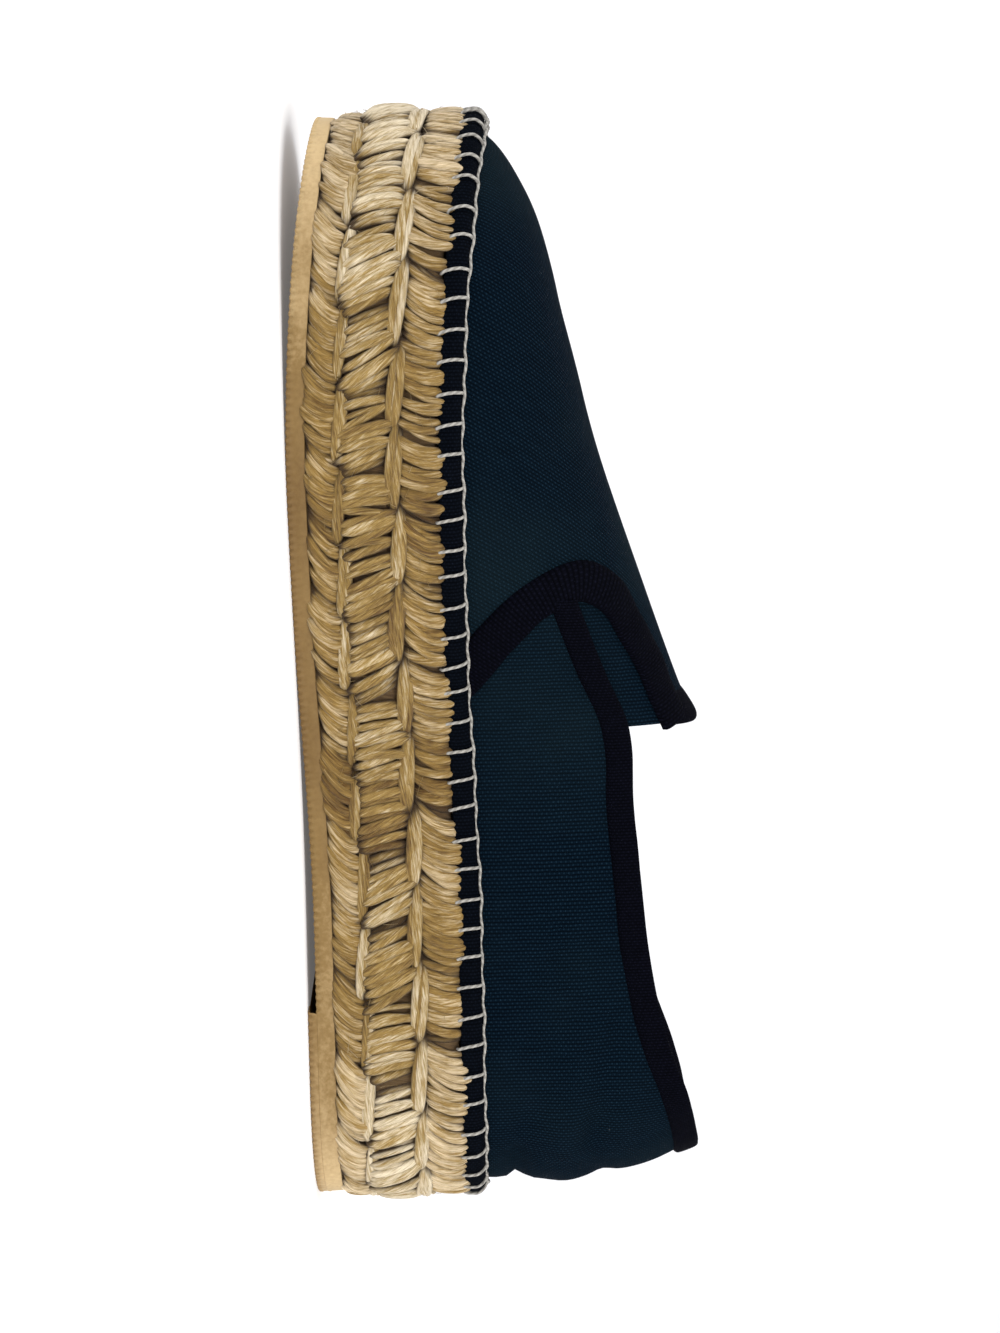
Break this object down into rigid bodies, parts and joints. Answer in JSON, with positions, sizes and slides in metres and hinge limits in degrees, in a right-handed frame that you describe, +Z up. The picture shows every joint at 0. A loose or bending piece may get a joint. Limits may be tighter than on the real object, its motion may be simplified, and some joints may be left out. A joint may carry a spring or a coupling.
{
  "type": "espadrille",
  "caption": "Slip-on platform espadrille with a canvas upper, taped throat and collar, braided platform, stitched rim band and moulded rubber sole.",
  "frame": {"origin": "on the floor, under the middle of the shoe's box", "axes": "+X towards the toe, +Y towards the wearer's left (the inner side), +Z up"},
  "size_m": [0.2548, 0.0926, 0.0922],
  "materials": {
    "rubber": "matt tan gum rubber, ribbed at its edge",
    "braid": "coarse plaited jute yarn, natural straw colour",
    "insole": "natural woven cotton over thin padding",
    "canvas": "dark teal navy cotton canvas, matt, plain coarse weave",
    "band": "near-black navy canvas with pale blanket stitching",
    "tape": "near-black navy ribbed tape"
  },
  "bodies": {
    "root": {"outsole": "rubber", "braided_platform": "braid", "insole": "insole", "upper": "canvas", "rim_band": "band", "front_tape": "tape", "collar_tape": "tape"}
  },
  "joints": []
}
